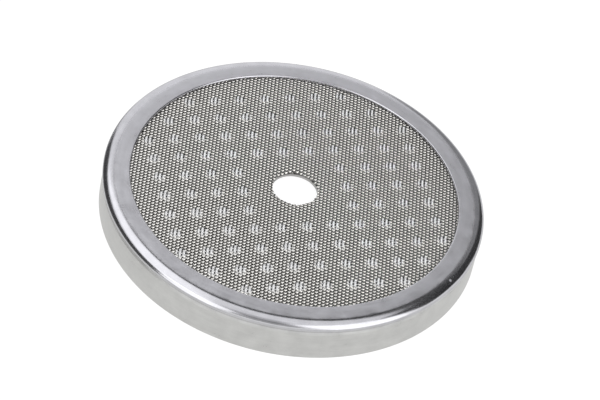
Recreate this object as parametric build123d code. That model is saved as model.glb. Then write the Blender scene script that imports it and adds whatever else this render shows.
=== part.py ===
from build123d import *
import os
from math import cos, hypot, pi, radians, sin, tan

# Round shower screen for an espresso group. Millimetres, +Z up, origin at the centre of the
# foot of the skirt. The woven face, which meets the coffee, looks up.

# Pressed and rolled bezel ring
overall_d = 57.0            # across the rolled shoulder
height = 6.6                # from the foot of the skirt to the top of the lip
ring_sheet = 0.4            # thickness of the ring's strip
lip_width = 4.0             # from the overall size in to the edge of the lip, over the cloth
shoulder_radius = 1.0       # outside radius between the lip and the side
bead_radius = 0.3           # outside radius between the shoulder and the groove
crimp_depth = 0.35          # groove under the shoulder, measured in from the overall size
crimp_slope = 35.0          # degrees that the groove's upper flank rises
crimp_relief = 0.6          # height over which the groove runs out into the skirt
skirt_step = 0.15           # how far the skirt stands in from the overall size

# Perforated backing plate
plate_thickness = 0.4
plate_side_clearance = 0.2  # between the plate's edge and the inside of the shoulder
screw_hole_d = 6.8          # through the cloth and the plate
spray_hole_d = 2.0
spray_hole_sides = 12       # the round holes are drawn with this many flats, to stay light
spray_pitch = 3.96          # square pattern
spray_turn = 22.0           # degrees from +X to a row of holes
spray_land_d = 13.2         # bare land round the screw hole
spray_margin = 0.15         # plate left between a hole and the lip's opening

# Woven cloth, as one wall with ribs along its wires and an opening over each spray hole
cloth_thickness = 0.3       # two wires
cloth_side_clearance = 0.2  # between the cloth's edge and the start of the shoulder's bend
rib_height = 0.15           # one wire
rib_width = 0.5
rib_pitch = 1.0             # one rib stands for two wires
wire_turn = 39.0            # degrees from +X to the ribs
gap_length = 1.17           # along the ribs
gap_width = 0.7

# The stack is clamped tight, and this much is left between neighbours
seat_air = 0.01

overall_r = overall_d / 2
lip_r = overall_r - lip_width
lip_underside = height - ring_sheet
cloth_top = lip_underside - seat_air
cloth_underside = cloth_top - cloth_thickness
plate_top = cloth_underside - seat_air
plate_underside = plate_top - plate_thickness
plate_r = overall_r - ring_sheet - plate_side_clearance
cloth_r = overall_r - shoulder_radius - cloth_side_clearance


def spray_points():
    """Centres of the spray holes: a turned square pattern between the land and the lip."""
    innermost = (spray_land_d + spray_hole_d) / 2
    outermost = lip_r - spray_hole_d / 2 - spray_margin
    turn = radians(spray_turn)
    rows = int(outermost / spray_pitch) + 1
    points = []
    for i in range(-rows, rows + 1):
        for j in range(-rows, rows + 1):
            x = spray_pitch * (i * cos(turn) - j * sin(turn))
            y = spray_pitch * (i * sin(turn) + j * cos(turn))
            if innermost <= hypot(x, y) <= outermost:
                points.append((x, y))
    return points


def bezel_outside():
    """Outside line of the ring's section, from the edge of the lip round to the foot."""
    neck_r = overall_r - crimp_depth
    skirt_r = overall_r - skirt_step
    slope = radians(crimp_slope)
    # The inside of the groove's upper flank carries the lower edge of the plate
    flank_r = plate_r + (ring_sheet + seat_air) * sin(slope)
    flank_z = plate_underside - (ring_sheet + seat_air) * cos(slope)
    flank_top = flank_z + (overall_r - flank_r) * tan(slope)
    neck_z = flank_z + (neck_r - flank_r) * tan(slope)
    # The shoulder's bend ends above the bend below it
    shoulder_room = height - flank_top - bead_radius * tan((pi / 2 - slope) / 2)
    bends = FilletPolyline(
        (lip_r, height),
        (overall_r, height),
        (overall_r, flank_top),
        (neck_r, neck_z),
        radius=[min(shoulder_radius, 0.98 * shoulder_room), bead_radius],
    )
    skirt = Polyline((neck_r, neck_z), (skirt_r, neck_z - crimp_relief), (skirt_r, 0))
    return bends + skirt


def bezel_ring():
    """Strip of one thickness, turned round the axis."""
    outline = offset(
        bezel_outside(), amount=ring_sheet, side=Side.RIGHT, kind=Kind.INTERSECTION
    )
    return revolve(Plane.XZ * make_face(outline), Axis.Z)


def stack_disc(radius, underside, thickness):
    """A flat disc of the clamped stack, with the screw hole through it."""
    with BuildPart() as disc:
        with BuildSketch(Plane.XY.offset(underside)):
            Circle(radius)
            Circle(screw_hole_d / 2, mode=Mode.SUBTRACT)
        extrude(amount=thickness)
    return disc.part


def perforated_plate():
    with BuildPart() as plate:
        add(stack_disc(plate_r, plate_underside, plate_thickness))
        with BuildSketch(Plane.XY.offset(plate_underside)):
            with Locations(*spray_points()):
                RegularPolygon(spray_hole_d / 2, spray_hole_sides)
        extrude(amount=plate_thickness, mode=Mode.SUBTRACT)
    return plate.part


def woven_cloth():
    groove_rows = 2 * int(cloth_r / rib_pitch) + 2
    with BuildPart() as cloth:
        add(stack_disc(cloth_r, cloth_underside, cloth_thickness))
        with BuildSketch(Plane.XY.offset(cloth_top).rotated((0, 0, wire_turn))):
            with GridLocations(0, rib_pitch, 1, groove_rows):
                Rectangle(2 * overall_d, rib_pitch - rib_width)
        extrude(amount=-rib_height, mode=Mode.SUBTRACT)
        with BuildSketch(Plane.XY.offset(cloth_underside)):
            with Locations(*spray_points()):
                Rectangle(gap_length, gap_width, rotation=wire_turn)
        extrude(amount=cloth_thickness, mode=Mode.SUBTRACT)
    return cloth.part


os.makedirs("parts", exist_ok=True)
export_step(bezel_ring(), "parts/bezel_ring.step")
export_step(perforated_plate(), "parts/perforated_plate.step")
export_step(woven_cloth(), "parts/woven_cloth.step")
print("spray holes", len(spray_points()))
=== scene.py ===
from collections import namedtuple
from math import cos, hypot, pi, radians, sin, tan

import bpy
import numpy as np
from mathutils import Matrix, Vector
from mathutils.geometry import delaunay_2d_cdt


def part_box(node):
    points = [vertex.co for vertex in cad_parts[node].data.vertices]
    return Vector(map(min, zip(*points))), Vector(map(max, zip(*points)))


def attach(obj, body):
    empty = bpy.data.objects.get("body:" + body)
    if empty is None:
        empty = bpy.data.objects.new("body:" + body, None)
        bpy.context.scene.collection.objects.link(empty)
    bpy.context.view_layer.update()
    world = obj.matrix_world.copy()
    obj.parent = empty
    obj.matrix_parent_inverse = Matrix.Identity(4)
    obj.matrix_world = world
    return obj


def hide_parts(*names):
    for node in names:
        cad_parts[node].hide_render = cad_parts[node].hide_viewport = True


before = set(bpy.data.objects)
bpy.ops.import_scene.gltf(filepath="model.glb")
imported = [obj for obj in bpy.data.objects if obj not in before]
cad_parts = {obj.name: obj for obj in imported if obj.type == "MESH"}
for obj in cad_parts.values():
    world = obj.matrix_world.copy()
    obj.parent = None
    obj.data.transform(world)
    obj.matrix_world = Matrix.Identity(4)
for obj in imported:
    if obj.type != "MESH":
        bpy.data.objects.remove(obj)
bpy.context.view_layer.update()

# The object's sizes are in millimetres, and its meshes are scaled to metres as they are made
MM = 0.001

# Sizes that the frame gives
ring_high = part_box("bezel_ring")[1]
plate_low, plate_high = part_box("perforated_plate")
cloth_low, cloth_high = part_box("woven_cloth")
OVERALL_R = ring_high.x / MM
HEIGHT = ring_high.z / MM
PLATE_R = plate_high.x / MM
PLATE_UNDERSIDE = plate_low.z / MM
PLATE_THICKNESS = (plate_high.z - plate_low.z) / MM
CLOTH_TOP = cloth_high.z / MM
CLOTH_THICKNESS = CLOTH_TOP - cloth_low.z / MM

# Sizes of the ring's section that its box doesn't give
SHEET = 0.4
LIP_R = 24.5
SHOULDER_WIDTH = 1.55       # the rolled bend is wider than it is high
SHOULDER_HEIGHT = 1.0
LIP_DROOP = 0.05            # the lip falls this much from its edge to the bend
BEAD_RADIUS = 0.3
NECK_R = 28.15              # the groove's deepest place
NECK_Z = 5.16
GROOVE_TOP = 5.4
SKIRT_R = 28.35
SKIRT_TOP = 4.56
GROOVE_EASE = 0.25          # the bends of the groove, which a press leaves soft
EDGE_EASE = 0.07            # the sheared edges of the strip
LIP_EASE = 0.18             # the edge of the lip over the cloth
RING_TURNS = 512            # faces round the ring
BEND_STEPS = 16             # faces over the rolled bend
ARC_STEPS = 10              # faces in a quarter turn of the other bends

# The clamped stack bulges towards the middle and dips at the screw hole
CROWN = 0.375
CROWN_POWER = 3
SCREW_R = 3.4
DIP_R = 4.5
DIP = 0.16
DIP_POWER = 2

# Spray holes, in a square pattern between the land round the screw hole and the lip
SPRAY_R = 1.0
SPRAY_PITCH = 3.96
SPRAY_TURN = 22.0           # degrees from +X to a row of holes
SPRAY_LAND_R = 6.6
SPRAY_MARGIN = 0.15
SPRAY_INNERMOST = SPRAY_LAND_R + SPRAY_R
SPRAY_OUTERMOST = LIP_R - SPRAY_R - SPRAY_MARGIN

# The plate's mesh
SPRAY_SIDES = 32
SCREW_SIDES = 64
PLATE_SIDES = 240
PLATE_STEP = 0.9            # between the points away from the rims
RIM_CLEARANCE = 0.3         # from a hole's rim to the nearest of those points
INSIDE_HOLE = 0.995         # of a hole's radius, within which a face's middle is in the hole
SAME_POINT = 1e-5

# Plain weave: thin warp wires lie close and bend over thick weft wires, which stay almost
# straight. wave is how far a wire swings up and down from its middle, and rings is how many
# rings of points it has from one crossing to the next
Wire = namedtuple("Wire", "diameter spacing wave rings sides")
WARP = Wire(diameter=0.12, spacing=0.336, wave=0.156, rings=3, sides=6)
WEFT = Wire(diameter=0.27, spacing=0.493, wave=0.039, rings=2, sides=7)
WEFT_ANGLE = 39.0           # degrees from +X to the weft wires; the warp is square to them
CLOTH_MIDDLE = CLOTH_TOP - WARP.wave - WARP.diameter / 2
WEAVE_R = 25.7              # the wires end under the lip
WIRE_PIECES = 4             # for each way, to keep the meshes small
FIRST_RING = 0.2            # least way from a wire's end to the next ring, in steps

# The plate is pressed down inside SEAT_R to take the cloth, and slopes up to SEAT_RIM_R
SEAT_AIR = 0.01
SEAT = 2 * (CLOTH_TOP - CLOTH_MIDDLE) - CLOTH_THICKNESS + SEAT_AIR
SEAT_R = 25.9
SEAT_RIM_R = 26.5

# Edges that turn more than this many degrees are sharp
SHARP = 40.0
WIRE_SHARP = 60.0

# Finish of the ring. A pair is where a change starts and ends
BEND_R = OVERALL_R - SHOULDER_WIDTH
SKIRT_COLOUR = (0.645, 0.645, 0.63)
LIP_COLOUR = (0.59, 0.588, 0.625)
LIP_COLOUR_Z = (SKIRT_TOP, HEIGHT - 0.3)
RING_BRIGHTNESS = 0.7                       # before the patterns add to it
SATIN_ROUGH = 0.3
POLISHED_ROUGH = 0.16
PATTERN_OFFSET = -0.37                      # takes off most of what the patterns add
POLISHED_R = (BEND_R - 0.3, BEND_R + 0.1)
POLISHED_Z = (4.9, 5.1)
WORN_R = (LIP_R + 0.1, LIP_R + 0.35)        # the lip's edge is rubbed smooth
MARKS, SMEARS = 9.0, 1.5                    # bumps a millimetre over the section
ROUND_MARKS = 5.0                           # and bumps a radian round the axis
GROOVE_SHADE = 0.16                                 # painted shade: brightness taken off in the groove
GROOVE_SHADE_REACH = (0.08, 0.22)                   # up and down from the neck
GROOVE_SHADE_R = (NECK_R - 0.1, NECK_R - 0.05)      # the outside of the strip alone
NICK = (24.85, -12.12, 6.45)                # the middle of a small nick on the shoulder
NICK_R = (0.12, 0.24)
NICK_ROUGH = 0.55
NICK_DEPTH = 4.0                            # in depths of the ring's bump
RING_BUMP = 0.0016
SCRATCH_EDGE = 0.04

# The ring's scratches: which way they lie in degrees, bumps a millimetre along and across
# them, and how rare they are
SCRATCHES = [(24, 0.35, 7.0, 0.68), (131, 0.3, 6.0, 0.7)]

# Finish of the wires, with the highlights, shade and light painted on them
WIRE_BRIGHTNESS = 0.85                      # before the patterns add to it
WIRE_ROUGH = 0.08                           # likewise
WIRE_COLOUR = (0.97, 0.955, 0.925)
# the second colour is painted light: the white of the wires over the spray holes
THROUGH_LIGHT_COLOUR = (0.97, 0.975, 0.985)
ROW_MEAN, ROW_DEPTH = 0.76, 0.9             # painted highlight and shade: brightness of the crowns in their rows
ROW_COLUMNS = -0.4                          # and how far the columns cut across the rows
COLUMN_MEAN, COLUMN_DEPTH = 1.0, 1.4        # brightness of the columns of painted light over the spray holes, as if lit through them from below
COLUMN_R = (SPRAY_R - 0.35, SPRAY_R - 0.15)
CROWN_RISE = (-0.04, 0.16)                  # painted shade: above the cloth's middle, from dark to bright
LOW_WIRE = 0.4                              # painted shade: brightness of the wires below that
DARKEST = 0.02
WIRE_BUMP = 0.002

# Finish of the plate
PLATE_COLOUR = (0.5, 0.49, 0.48)
PLATE_BRIGHTNESS = 0.75                     # before the patterns add to it
PLATE_ROUGH = 0.25                          # likewise
ROLL_STREAKS = (0.3, 5.0)                   # bumps a millimetre along and across the streaks
PLATE_BUMP = 0.002

# The photograph's camera
CAMERA_ELEVATION = 42.9
CAMERA_ROLL = 12.7
CAMERA_DISTANCE = 481.7     # from the foot's centre
CAMERA_CLIP = (0.01, 20)    # metres
FOCAL_PX = 3238.0
IMAGE_W, IMAGE_H = 600, 400
ORIGIN_PX = (288.2, 219.0)  # where the foot's centre lands in the image
SENSOR = 36.0

# Studio, in metres
WHITE = (1, 1, 1, 1)
BLACK = (0, 0, 0, 1)
FLOOR_REACH = 2             # from the middle of the floor to its sides
LIGHT_DISTANCE = 0.8
CARD_DISTANCE = 0.95
CARD_LIFT = 0.0002          # of the cards on the floor
CARD_STEPS = 12
FLOOR_GREY = 0.85
FLOOR_ROUGH = 0.9
WORLD_LIGHT = 0.6           # the world's strength as a light
WORLD_SEEN = 1.0            # and as the camera and the metal see it

# How bright the floor glows for each kind of ray, and the share of that in what is seen
FLOOR_GLOW = {
    "Is Camera Ray": (1.12, 0.87),
    "Is Glossy Ray": (0.8, 1.0),
    "Is Transmission Ray": (1.1, 0.8),
}


# Meshes

def new_piece(name, points, faces, node, material, sharp=SHARP):
    """A mesh object on the one body, from points in millimetres."""
    mesh = bpy.data.meshes.new(name)
    mesh.from_pydata((np.asarray(points) * MM).tolist(), [], faces)
    mesh.materials.append(material)
    mesh.shade_smooth()
    mesh.set_sharp_from_angle(angle=radians(sharp))
    piece = bpy.data.objects.new(name, mesh)
    bpy.context.scene.collection.objects.link(piece)
    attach(piece, "root")
    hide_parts(node)


def parallel(points, distance):
    """Corners of the open line that runs beside another, to its right."""
    line = np.array(points, float)
    runs = np.diff(line, axis=0)
    runs /= np.linalg.norm(runs, axis=1)[:, None]
    right = np.column_stack([runs[:, 1], -runs[:, 0]])
    beside = [line[0] + right[0] * distance]
    for i in range(1, len(line) - 1):
        mitre = right[i - 1] + right[i]
        beside.append(line[i] + mitre * distance / (1 + right[i - 1] @ right[i]))
    beside.append(line[-1] + right[-1] * distance)
    return np.array(beside)


def rounded(corners, radii):
    """A closed line whose corners have arcs of these radii, or stay where that is 0."""
    line = []
    count = len(corners)
    for i, radius in enumerate(radii):
        before, here, after = (np.array(corners[k % count], float) for k in (i - 1, i, i + 1))
        if radius == 0:
            line.append(here)
            continue
        back = (before - here) / np.linalg.norm(before - here)
        on = (after - here) / np.linalg.norm(after - here)
        half = np.arccos(np.clip(back @ on, -1, 1)) / 2
        cut = radius / tan(half)
        middle = here + (back + on) / np.linalg.norm(back + on) * radius / sin(half)
        start, end = here + back * cut - middle, here + on * cut - middle
        turn = np.arctan2(start[0] * end[1] - start[1] * end[0], start @ end)
        steps = max(3, int(ARC_STEPS * abs(turn) / (pi / 2)))
        for t in np.linspace(0, turn, steps + 1):
            line.append(middle + [cos(t) * start[0] - sin(t) * start[1],
                                  sin(t) * start[0] + cos(t) * start[1]])
    return np.array(line)


def lathe(section, turns):
    """Points and faces of a closed section of (radius, height), turned round the axis."""
    angles = np.arange(turns) * 2 * pi / turns
    points = np.array([(r * cos(a), r * sin(a), z) for a in angles for r, z in section])
    corners = len(section)
    faces = []
    for i in range(turns):
        here, there = i * corners, (i + 1) % turns * corners
        for k in range(corners):
            after = (k + 1) % corners
            faces.append((here + k, here + after, there + after, there + k))
    return points, faces


def crown(r):
    """How far the stack stands above the height at which the lip holds it."""
    bulge = CROWN * (1 - (np.minimum(r, LIP_R) / LIP_R) ** CROWN_POWER)
    dip = DIP * np.clip((DIP_R - r) / (DIP_R - SCREW_R), 0, 1) ** DIP_POWER
    return bulge - dip


def ring_section():
    """The closed section of the strip, as (radius, height) corners."""
    bend_foot = HEIGHT - SHOULDER_HEIGHT
    bend = [(OVERALL_R - SHOULDER_WIDTH * (1 - sin(a)),
             bend_foot + (SHOULDER_HEIGHT - LIP_DROOP) * cos(a))
            for a in np.linspace(0, pi / 2, BEND_STEPS + 1)]
    outside = [
        (LIP_R, HEIGHT),
        *bend,
        (OVERALL_R, GROOVE_TOP),
        (NECK_R, NECK_Z),
        (SKIRT_R, SKIRT_TOP),
        (SKIRT_R, 0.0),
    ]
    inside = parallel(outside, SHEET)[::-1]
    corners = [*map(np.array, outside), *inside]
    unrounded = [0] * len(bend)
    radii = [
        LIP_EASE, *unrounded, BEAD_RADIUS, GROOVE_EASE, GROOVE_EASE, EDGE_EASE,
        EDGE_EASE, GROOVE_EASE, GROOVE_EASE, EDGE_EASE, *unrounded, EDGE_EASE,
    ]
    section = rounded(corners, radii)[::-1]
    # The eased edge of the sloping lip comes up to the full height
    section[:, 1] *= HEIGHT / section[:, 1].max()
    return section


def spray_points():
    """Centres of the spray holes."""
    turn = radians(SPRAY_TURN)
    rows = int(SPRAY_OUTERMOST / SPRAY_PITCH) + 1
    grid = [(i, j) for i in range(-rows, rows + 1) for j in range(-rows, rows + 1)]
    spots = [(SPRAY_PITCH * (i * cos(turn) - j * sin(turn)),
              SPRAY_PITCH * (i * sin(turn) + j * cos(turn))) for i, j in grid]
    return [spot for spot in spots if SPRAY_INNERMOST <= hypot(*spot) <= SPRAY_OUTERMOST]


def circle(centre, radius, sides):
    """Corners of a round outline."""
    a = np.arange(sides) * 2 * pi / sides
    return np.column_stack([centre[0] + radius * np.cos(a), centre[1] + radius * np.sin(a)])


def plate_outline():
    """Points and triangles of the flat plate, with its holes."""
    holes = [(np.zeros(2), SCREW_R, SCREW_SIDES)]
    holes += [(np.array(spot), SPRAY_R, SPRAY_SIDES) for spot in spray_points()]
    rims = [circle(*hole) for hole in holes] + [circle((0, 0), PLATE_R, PLATE_SIDES)]
    edges, count = [], 0
    for rim in rims:
        sides = len(rim)
        edges += [(count + k, count + (k + 1) % sides) for k in range(sides)]
        count += sides
    lines = np.arange(-PLATE_R, PLATE_R, PLATE_STEP)
    grid = np.array([(x + (k % 2) * PLATE_STEP / 2, y)
                     for k, y in enumerate(lines) for x in lines])
    keep = np.hypot(*grid.T) < PLATE_R - PLATE_STEP / 2
    for centre, radius, _ in holes:
        keep &= np.hypot(*(grid - centre).T) > radius + RIM_CLEARANCE
    points = np.vstack(rims + [grid[keep]])
    found = delaunay_2d_cdt([Vector(p) for p in points], edges, [], 0, SAME_POINT)
    points, triangles = np.array([tuple(p) for p in found[0]]), np.array(found[2])
    middles = points[triangles].mean(axis=1)
    keep = np.hypot(*middles.T) < PLATE_R
    for centre, radius, _ in holes:
        keep &= np.hypot(*(middles - centre).T) > radius * INSIDE_HOLE
    return points, triangles[keep]


def plate_mesh():
    """A crowned disc with round holes: one triangulated face, its copy below, and walls."""
    flat, triangles = plate_outline()
    r = np.hypot(*flat.T)
    seat = SEAT * np.clip((SEAT_RIM_R - r) / (SEAT_RIM_R - SEAT_R), 0, 1)
    low = PLATE_UNDERSIDE + crown(r) - seat
    count = len(flat)
    points = np.vstack([np.column_stack([flat, z]) for z in (low + PLATE_THICKNESS, low)])
    sides = np.vstack([triangles[:, [0, 1]], triangles[:, [1, 2]], triangles[:, [2, 0]]])
    directed = set(map(tuple, sides.tolist()))
    walls = [(b, a, a + count, b + count) for a, b in directed if (b, a) not in directed]
    faces = triangles.tolist() + (triangles[:, ::-1] + count).tolist() + sorted(walls)
    return points, faces


def wire_runs(offset):
    """Ends of the runs of a wire that passes this far from the centre."""
    reach = (WEAVE_R ** 2 - offset ** 2) ** 0.5
    if abs(offset) >= SCREW_R:
        return [(-reach, reach)]
    gap = (SCREW_R ** 2 - offset ** 2) ** 0.5
    return [(-reach, -gap), (gap, reach)]


def crimped_line(wire, crossing, along, across, offset, swing, run):
    """Points along the middle of a wire's run, and which way is up at each."""
    start, end = run
    step = crossing / wire.rings
    stops = np.arange(np.ceil(start / step + FIRST_RING), end / step - FIRST_RING) * step
    t = np.concatenate([[start], stops, [end]])
    phase = pi * t / crossing
    flat = np.outer(t, along) + offset * across
    height = CLOTH_MIDDLE + crown(np.hypot(*flat.T)) + swing * np.cos(phase)
    slope = -swing * pi / crossing * np.sin(phase)
    scale = np.hypot(1, slope)
    up = np.column_stack([-slope[:, None] / scale[:, None] * along, 1 / scale])
    return np.column_stack([flat, height]), up


def tube(middles, up, across, wire, turned_in):
    """Points and faces of a closed tube. turned_in is true where its faces have to be
    turned over to look out."""
    sides = wire.sides
    angles = np.arange(sides) * 2 * pi / sides + pi / 2
    points = middles[:, None] + wire.diameter / 2 * (
        np.cos(angles)[None, :, None] * np.append(across, 0)
        + np.sin(angles)[None, :, None] * up[:, None])
    k = np.arange(sides)
    rings = np.arange(len(middles) - 1)[:, None] * sides
    first, second = rings + k, rings + (k + 1) % sides
    quads = np.stack([first, second, second + sides, first + sides], -1).reshape(-1, 4)
    caps = np.array([k[::-1], (len(middles) - 1) * sides + k])
    if turned_in:
        quads, caps = quads[:, ::-1], caps[:, ::-1]
    return points.reshape(-1, 3), quads, caps


def wires(wire, crossing, along, across, over, part):
    """Crimped wires that lie along one way and go over and under those that cross them.

    crossing is the spacing of the others. over is 1 or -1, which of the two is on top at
    the middle of the cloth. part is which of the pieces these wires are for.
    """
    turned_in = along[0] * across[1] - along[1] * across[0] < 0
    points, faces = [], []
    count = 0
    last = int(WEAVE_R / wire.spacing)
    numbers = np.array_split(np.arange(-last, last + 1), WIRE_PIECES)[part]
    for number in numbers.tolist():
        offset = number * wire.spacing
        swing = wire.wave * (over if number % 2 == 0 else -over)
        for run in wire_runs(offset):
            middles, up = crimped_line(wire, crossing, along, across, offset, swing, run)
            tube_points, quads, caps = tube(middles, up, across, wire, turned_in)
            points.append(tube_points)
            faces += (quads + count).tolist() + (caps + count).tolist()
            count += len(tube_points)
    return np.vstack(points), faces


# Materials

class Nodes:
    """Short calls that add linked nodes to one material of bare metal."""

    def __init__(self, name):
        self.material = bpy.data.materials.new(name)
        self.material.use_nodes = True
        self.tree = self.material.node_tree
        self.shader = self.tree.nodes["Principled BSDF"]
        self.shader.inputs["Metallic"].default_value = 1.0

    def feed(self, socket, value):
        """Links a socket to another, or sets it to a number or colour."""
        if isinstance(value, bpy.types.NodeSocket):
            self.tree.links.new(value, socket)
        else:
            socket.default_value = value

    def add(self, kind, *values, **settings):
        node = self.tree.nodes.new(kind)
        for name, setting in settings.items():
            setattr(node, name, setting)
        for socket, value in zip(node.inputs, values):
            self.feed(socket, value)
        return node

    def math(self, operation, *values):
        return self.add("ShaderNodeMath", *values, operation=operation).outputs[0]

    def times(self, one, other):
        return self.math("MULTIPLY", one, other)

    def minus(self, one, other):
        return self.math("SUBTRACT", one, other)

    def sum(self, first, *others):
        """first, and then each value times its weight."""
        total = first
        for value, weight in others:
            total = self.math("MULTIPLY_ADD", value, weight, total)
        return total

    def ramp(self, value, ends, first, last):
        """first up to where it starts and last from its end on, and straight between."""
        start, end = ends
        return self.add("ShaderNodeMapRange", value, start, end, first, last).outputs[0]

    def vector(self, x, y, z):
        return self.add("ShaderNodeCombineXYZ", x, y, z).outputs[0]

    def blend(self, value, ends, first, last):
        """A ramp from one colour to another."""
        return self.vector(*(self.ramp(value, ends, a, b) for a, b in zip(first, last)))

    def place(self):
        """x, y and z on the object, in millimetres, and the distance from the axis."""
        found = self.add("ShaderNodeTexCoord").outputs["Object"]
        scaled = self.add("ShaderNodeVectorMath", found, operation="SCALE")
        scaled.inputs["Scale"].default_value = 1 / MM
        x, y, z = self.add("ShaderNodeSeparateXYZ", scaled.outputs[0]).outputs
        return x, y, z, self.length(x, y)

    def length(self, x, y):
        square = self.math("ADD", self.times(x, x), self.times(y, y))
        return self.math("SQRT", square)

    def turned(self, x, y, angle):
        """Distances along a line that lies this way, and to its left."""
        c, s = cos(radians(angle)), sin(radians(angle))
        run = self.math("ADD", self.times(x, c), self.times(y, s))
        side = self.minus(self.times(y, c), self.times(x, s))
        return run, side

    def noise(self, vector, scale=1.0, detail=2.0):
        """From about 0.25 to 0.75, with 0.5 as its middle. scale is in bumps a unit."""
        node = self.add("ShaderNodeTexNoise", vector)
        node.inputs["Scale"].default_value = scale
        node.inputs["Detail"].default_value = detail
        return node.outputs[0]

    def scratches(self, x, y, z, angle, along, across, rare):
        """1 on thin scratches that lie this way, and 0 elsewhere. along and across are in
        bumps a millimetre, and the higher rare is, the fewer there are."""
        run, side = self.turned(x, y, angle)
        spot = self.vector(self.times(run, along), self.times(side, across), self.times(z, across))
        return self.ramp(self.noise(spot, detail=1.0), (rare, rare + SCRATCH_EDGE), 0.0, 1.0)

    def finish(self, colour, brightness, roughness, height, depth):
        """Links the colour times the brightness, the roughness, and a bump of depth mm."""
        tint = self.add("ShaderNodeVectorMath", operation="SCALE")
        self.feed(tint.inputs[0], colour)
        self.feed(tint.inputs["Scale"], brightness)
        bump = self.add("ShaderNodeBump")
        bump.inputs["Distance"].default_value = depth * MM
        self.feed(bump.inputs["Height"], height)
        self.feed(self.shader.inputs["Base Color"], tint.outputs[0])
        self.feed(self.shader.inputs["Roughness"], roughness)
        self.feed(self.shader.inputs["Normal"], bump.outputs[0])
        return self.material


def rolled_steel():
    """Satin on the lip and the skirt with marks round the axis, and polished by the rolls
    between them, with painted shade in the groove under the bend. The skirt is a warmer grey than
    the lip."""
    nodes = Nodes("rolled_steel")
    x, y, z, r = nodes.place()
    spot = nodes.vector(x, y, z)

    # Patterns
    run = nodes.minus(r, z)
    round_x = nodes.times(nodes.math("DIVIDE", x, r), ROUND_MARKS)
    round_y = nodes.times(nodes.math("DIVIDE", y, r), ROUND_MARKS)
    marks = nodes.noise(nodes.vector(nodes.times(run, MARKS), round_x, round_y), detail=3.0)
    smears = nodes.noise(nodes.vector(nodes.times(run, SMEARS), round_x, round_y))
    blotches = nodes.noise(spot, scale=0.5, detail=4.0)
    grain = nodes.noise(spot, scale=7.0)
    scratches = nodes.math("MAXIMUM", *(nodes.scratches(x, y, z, *kind) for kind in SCRATCHES))

    # Places
    polished = nodes.times(nodes.ramp(r, POLISHED_R, 0.0, 1.0), nodes.ramp(z, POLISHED_Z, 0.0, 1.0))
    worn = nodes.ramp(r, WORN_R, 1.0, 0.0)
    dull = nodes.minus(1.0, nodes.math("MAXIMUM", polished, worn))
    # painted shade: darker in the groove at the neck, on the outside of the strip
    from_neck = nodes.math("ABSOLUTE", nodes.minus(z, NECK_Z))
    groove_shade = nodes.times(nodes.ramp(from_neck, GROOVE_SHADE_REACH, 1.0, 0.0),
                       nodes.ramp(r, GROOVE_SHADE_R, 0.0, 1.0))
    from_nick = nodes.add("ShaderNodeVectorMath", spot, NICK, operation="DISTANCE")
    nick = nodes.ramp(from_nick.outputs["Value"], NICK_R, 1.0, 0.0)

    rough = nodes.sum(PATTERN_OFFSET, (marks, 0.16), (smears, 0.24), (blotches, 0.3),
                      (scratches, 0.1), (grain, 0.16))
    roughness = nodes.sum(POLISHED_ROUGH, (dull, SATIN_ROUGH - POLISHED_ROUGH),
                          (nodes.times(rough, dull), 1.0), (blotches, 0.03), (nick, NICK_ROUGH))
    brightness = nodes.sum(RING_BRIGHTNESS, (marks, 0.12), (blotches, 0.3), (smears, 0.16),
                           (scratches, 0.08))
    # painted shade of the groove taken off the brightness
    brightness = nodes.times(brightness, nodes.sum(1.0, (groove_shade, -GROOVE_SHADE)))
    height = nodes.sum(0.0, (nodes.times(marks, dull), 1.0), (grain, 0.4), (scratches, -0.5),
                       (nick, -NICK_DEPTH))
    colour = nodes.blend(z, LIP_COLOUR_Z, SKIRT_COLOUR, LIP_COLOUR)
    return nodes.finish(colour, brightness, roughness, height, RING_BUMP)


def over_holes(nodes, x, y):
    """1 over the middle of each spray hole, and 0 away from them."""
    a, b = (nodes.math("DIVIDE", k, SPRAY_PITCH) for k in nodes.turned(x, y, SPRAY_TURN))
    near_a, near_b = nodes.math("ROUND", a), nodes.math("ROUND", b)
    off = nodes.length(nodes.minus(a, near_a), nodes.minus(b, near_b))
    centre_r = nodes.times(nodes.length(near_a, near_b), SPRAY_PITCH)
    hole = nodes.ramp(nodes.times(off, SPRAY_PITCH), COLUMN_R, 1.0, 0.0)
    outer = nodes.math("LESS_THAN", centre_r, SPRAY_OUTERMOST)
    inner = nodes.math("GREATER_THAN", centre_r, SPRAY_INNERMOST)
    return nodes.times(hole, nodes.times(outer, inner))


def above_middle(nodes, z, r):
    """How far a point on a wire is above the cloth's middle, which is crowned."""
    share = nodes.math("MINIMUM", nodes.math("DIVIDE", r, LIP_R), 1.0)
    bulge = nodes.sum(CROWN, (nodes.math("POWER", share, CROWN_POWER), -CROWN))
    dip = nodes.math("POWER", nodes.ramp(r, (SCREW_R, DIP_R), 1.0, 0.0), DIP_POWER)
    middle = nodes.sum(nodes.math("ADD", bulge, CLOTH_MIDDLE), (dip, -DIP))
    return nodes.minus(z, middle)


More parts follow.
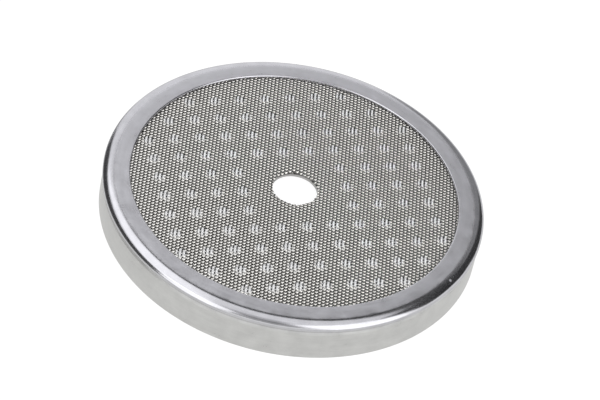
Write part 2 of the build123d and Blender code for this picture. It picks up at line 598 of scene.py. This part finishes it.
def drawn_wire():
    """Painted highlights on the crowns in slanting rows, with painted shade on the wire between
    them and on the lower wires, and over the spray holes bright columns of painted light from
    below, which slant the other way."""
    nodes = Nodes("drawn_wire")
    x, y, z, r = nodes.place()
    spot = nodes.vector(x, y, z)
    u, v = nodes.turned(x, y, WEFT_ANGLE)
    along_weft = nodes.times(u, pi / WARP.spacing)
    along_warp = nodes.times(v, pi / WEFT.spacing)
    rows = nodes.math("COSINE", nodes.math("ADD", along_weft, along_warp))
    columns = nodes.math("COSINE", nodes.minus(along_weft, along_warp))
    # painted light: the wires over the spray holes are brightened as if lit through the holes
    through_light_mask = over_holes(nodes, x, y)
    # painted shade: the wires lower than the cloth's middle, under those that cross them, are
    # darker
    crowns = nodes.ramp(above_middle(nodes, z, r), CROWN_RISE, LOW_WIRE, 1.0)
    blotches = nodes.noise(spot, scale=0.45, detail=4.0)
    uneven = nodes.noise(spot, scale=2.2)
    grain = nodes.noise(spot, scale=24.0)

    # painted highlights on the crowns in slanting rows, with painted shade between them
    painted_crown_highlights = nodes.sum(ROW_MEAN, (rows, ROW_DEPTH), (columns, ROW_COLUMNS))
    # painted light in bright columns over the spray holes
    painted_through_light = nodes.sum(COLUMN_MEAN, (columns, COLUMN_DEPTH))
    pattern = nodes.ramp(through_light_mask, (0.0, 1.0), painted_crown_highlights, painted_through_light)
    patchy = nodes.sum(WIRE_BRIGHTNESS, (blotches, 0.14), (uneven, 0.14), (grain, 0.06))
    brightness = nodes.math("MINIMUM", nodes.times(pattern, nodes.times(crowns, patchy)), 1.0)
    brightness = nodes.math("MAXIMUM", brightness, DARKEST)
    roughness = nodes.sum(WIRE_ROUGH, (blotches, 0.1), (uneven, 0.08), (grain, 0.06))
    colour = nodes.blend(through_light_mask, (0.0, 1.0), WIRE_COLOUR, THROUGH_LIGHT_COLOUR)
    return nodes.finish(colour, brightness, roughness, grain, WIRE_BUMP)


def plate_steel():
    """Cold rolled sheet: dull, with streaks along the way it was rolled."""
    nodes = Nodes("plate_steel")
    x, y, z, r = nodes.place()
    spot = nodes.vector(x, y, z)
    along, across = ROLL_STREAKS
    rolled = nodes.vector(nodes.times(x, along), nodes.times(y, across), z)
    streaks = nodes.noise(rolled, detail=3.0)
    blotches = nodes.noise(spot, scale=0.6, detail=4.0)
    grain = nodes.noise(spot, scale=9.0)
    brightness = nodes.sum(PLATE_BRIGHTNESS, (streaks, 0.22), (blotches, 0.2), (grain, 0.08))
    roughness = nodes.sum(PLATE_ROUGH, (streaks, 0.12), (blotches, 0.16), (grain, 0.08))
    height = nodes.sum(0.0, (streaks, 1.0), (grain, 0.6))
    return nodes.finish(PLATE_COLOUR, brightness, roughness, height, PLATE_BUMP)


steel = rolled_steel()
wire_steel = drawn_wire()
back_steel = plate_steel()


# Pieces

points, faces = lathe(ring_section(), RING_TURNS)
new_piece("bezel", points, faces, "bezel_ring", steel)

points, faces = plate_mesh()
new_piece("backing_plate", points, faces, "perforated_plate", back_steel)

angle = radians(WEFT_ANGLE)
weft_way = np.array([cos(angle), sin(angle)])
warp_way = np.array([-sin(angle), cos(angle)])
for name, run in {
    "warp_wires": (WARP, WEFT.spacing, warp_way, weft_way, 1),
    "weft_wires": (WEFT, WARP.spacing, weft_way, warp_way, -1),
}.items():
    for part in range(WIRE_PIECES):
        points, faces = wires(*run, part)
        new_piece(f"{name}_{part + 1}", points, faces, "woven_cloth",
                  wire_steel, WIRE_SHARP)


# Studio

def aim(thing, location, forward, top):
    """Places a camera or lamp to look along forward, with its top as near as it can be to
    the way given."""
    back = -forward.normalized()
    right = top.cross(back).normalized()
    up = back.cross(right)
    turn = Matrix((right, up, back)).transposed()
    thing.matrix_world = Matrix.Translation(location) @ turn.to_4x4()


def photograph_camera():
    """The camera looks from the front and above, and is rolled. The object's origin is off
    the image's middle."""
    elevation, roll = radians(CAMERA_ELEVATION), radians(CAMERA_ROLL)
    back = Vector((0, -cos(elevation), sin(elevation)))
    level_right = Vector((1, 0, 0))
    level_up = level_right.cross(-back)
    right = cos(roll) * level_right + sin(roll) * level_up
    up = -sin(roll) * level_right + cos(roll) * level_up
    aim_right = (IMAGE_W / 2 - ORIGIN_PX[0]) / FOCAL_PX
    aim_up = (ORIGIN_PX[1] - IMAGE_H / 2) / FOCAL_PX
    lens = bpy.data.cameras.new("camera")
    lens.sensor_width = SENSOR
    lens.lens = FOCAL_PX / IMAGE_W * SENSOR
    lens.clip_start, lens.clip_end = CAMERA_CLIP
    camera = bpy.data.objects.new("camera", lens)
    bpy.context.scene.collection.objects.link(camera)
    aim(camera, back * CAMERA_DISTANCE * MM, -back + right * aim_right + up * aim_up, up)
    return camera


def toward(azimuth, elevation):
    """Unit vector; azimuth is in degrees from +X towards +Y."""
    a, e = radians(azimuth), radians(elevation)
    return Vector((cos(e) * cos(a), cos(e) * sin(a), sin(e)))


def floor_material():
    """Glows white to the camera, but not so fully that the object's shadow is lost, and a
    little darker in the metal."""
    material = bpy.data.materials.new("floor_white")
    material.use_nodes = True
    nodes, links = material.node_tree.nodes, material.node_tree.links
    shader = nodes["Principled BSDF"]
    shader.inputs["Base Color"].default_value = (FLOOR_GREY, FLOOR_GREY, FLOOR_GREY, 1)
    shader.inputs["Roughness"].default_value = FLOOR_ROUGH
    path = nodes.new("ShaderNodeLightPath")
    surface = shader.outputs[0]
    for ray, (strength, part) in FLOOR_GLOW.items():
        glow = nodes.new("ShaderNodeEmission")
        glow.inputs["Strength"].default_value = strength
        share = nodes.new("ShaderNodeMath")
        share.operation = "MULTIPLY"
        share.inputs[1].default_value = part
        mix = nodes.new("ShaderNodeMixShader")
        links.new(path.outputs[ray], share.inputs[0])
        links.new(share.outputs[0], mix.inputs[0])
        links.new(surface, mix.inputs[1])
        links.new(glow.outputs[0], mix.inputs[2])
        surface = mix.outputs[0]
    links.new(surface, nodes["Material Output"].inputs["Surface"])
    material.cycles.emission_sampling = "NONE"
    return material


def white_floor():
    """A square under the object, with the object's foot on its middle."""
    corners = [(x * FLOOR_REACH, y * FLOOR_REACH, 0)
               for x, y in ((-1, -1), (1, -1), (1, 1), (-1, 1))]
    mesh = bpy.data.meshes.new("floor")
    mesh.from_pydata(corners, [], [(0, 1, 2, 3)])
    mesh.materials.append(floor_material())
    floor = bpy.data.objects.new("floor", mesh)
    bpy.context.scene.collection.objects.link(floor)


def white_world():
    """Soft light, and white to the rays of the camera, of gloss and of glass."""
    world = bpy.data.worlds.new("studio")
    world.use_nodes = True
    world.cycles.sampling_method = "NONE"
    nodes, links = world.node_tree.nodes, world.node_tree.links
    path = nodes.new("ShaderNodeLightPath")
    seen = path.outputs["Is Camera Ray"]
    for ray in ("Is Glossy Ray", "Is Transmission Ray"):
        either = nodes.new("ShaderNodeMath")
        either.operation = "MAXIMUM"
        links.new(seen, either.inputs[0])
        links.new(path.outputs[ray], either.inputs[1])
        seen = either.outputs[0]
    mix = nodes.new("ShaderNodeMixShader")
    links.new(seen, mix.inputs[0])
    soft, white = nodes["Background"], nodes.new("ShaderNodeBackground")
    for background, strength, place in ((soft, WORLD_LIGHT, 1), (white, WORLD_SEEN, 2)):
        background.inputs["Color"].default_value = WHITE
        background.inputs["Strength"].default_value = strength
        links.new(background.outputs[0], mix.inputs[place])
    links.new(mix.outputs[0], nodes["World Output"].inputs["Surface"])
    return world


def soft_light(name, azimuth, elevation, wide, tall, radiance):
    """A rectangular lamp that faces the object. wide and tall are half angles as the
    object sees it, and radiance is the brightness of its face."""
    lamp = bpy.data.lights.new(name, "AREA")
    lamp.shape = "RECTANGLE"
    lamp.size = 2 * LIGHT_DISTANCE * tan(radians(wide))
    lamp.size_y = 2 * LIGHT_DISTANCE * tan(radians(tall))
    lamp.energy = radiance * pi * lamp.size * lamp.size_y
    holder = bpy.data.objects.new(name, lamp)
    bpy.context.scene.collection.objects.link(holder)
    way = toward(azimuth, elevation)
    aim(holder, way * LIGHT_DISTANCE, -way, Vector((0, 0, 1)))


def card(name, west, east, edges, brightness):
    """A patch that the metal reflects, out of the camera's sight. It is swept round the
    axis from one azimuth to another, and edges are two points at azimuth 0."""
    angles = np.linspace(west, east, CARD_STEPS + 1)
    turns = [Matrix.Rotation(radians(a), 3, "Z") for a in angles]
    points = [turn @ edge for edge in edges for turn in turns]
    row = len(turns)
    faces = [(k, k + 1, row + k + 1, row + k) for k in range(CARD_STEPS)]
    mesh = bpy.data.meshes.new(name)
    mesh.from_pydata(points, [], faces)
    material = bpy.data.materials.new(name)
    material.use_nodes = True
    shader = material.node_tree.nodes["Principled BSDF"]
    shader.inputs["Base Color"].default_value = BLACK
    shader.inputs["Roughness"].default_value = 1.0
    shader.inputs["Specular IOR Level"].default_value = 0.0
    shader.inputs["Emission Color"].default_value = WHITE
    shader.inputs["Emission Strength"].default_value = brightness
    material.cycles.emission_sampling = "NONE"
    mesh.materials.append(material)
    patch = bpy.data.objects.new(name, mesh)
    bpy.context.scene.collection.objects.link(patch)
    patch.visible_camera = patch.visible_shadow = patch.visible_diffuse = False


def grey_card(name, west, east, low, high, brightness):
    """A patch of the surroundings, with its edges as azimuths and elevations."""
    card(name, west, east, [toward(0, e) * CARD_DISTANCE for e in (low, high)], brightness)


def floor_card(name, west, east, near, far, brightness):
    """A patch that lies on the floor between two distances from the axis."""
    card(name, west, east, [Vector((d, 0, CARD_LIFT)) for d in (near, far)], brightness)


bpy.context.scene.camera = photograph_camera()
white_floor()
bpy.context.scene.world = white_world()

# Azimuth, elevation, half width, half height, and the radiance that the lamp adds to what
# lies behind it
soft_light("back_left_softbox", 165, 58, 32, 17, 0.5)
soft_light("front_left_softbox", 228, 28, 18, 28, 0.7)
soft_light("front_right_softbox", 324, 36, 23, 32, 0.8)

# First and last azimuth, lowest and highest elevation, and brightness
grey_card("right_card", -3, 19, 19, 45, 0.04)
grey_card("right_middle_card", 19, 32, 12, 45, 0.04)
grey_card("back_right_card", 32, 60, 3, 45, 0.05)
grey_card("back_card", 60, 83, 1, 45, 0.3)
grey_card("back_right_high_card", -5, 103, 45, 60, 0.05)
grey_card("left_card", 126, 209, 0, 33, 0.07)
grey_card("front_card", 246, 293, 44, 62, 0.3)
grey_card("front_middle_card", 250, 290, 20, 44, 0.45)
grey_card("front_high_card", 235, 295, 62, 80, 0.6)

# First and last azimuth, least and greatest distance from the axis, and brightness
floor_card("left_floor_card", 140, 222, 0.041, CARD_DISTANCE, 0.12)

bpy.context.scene.view_settings.view_transform = "Standard"
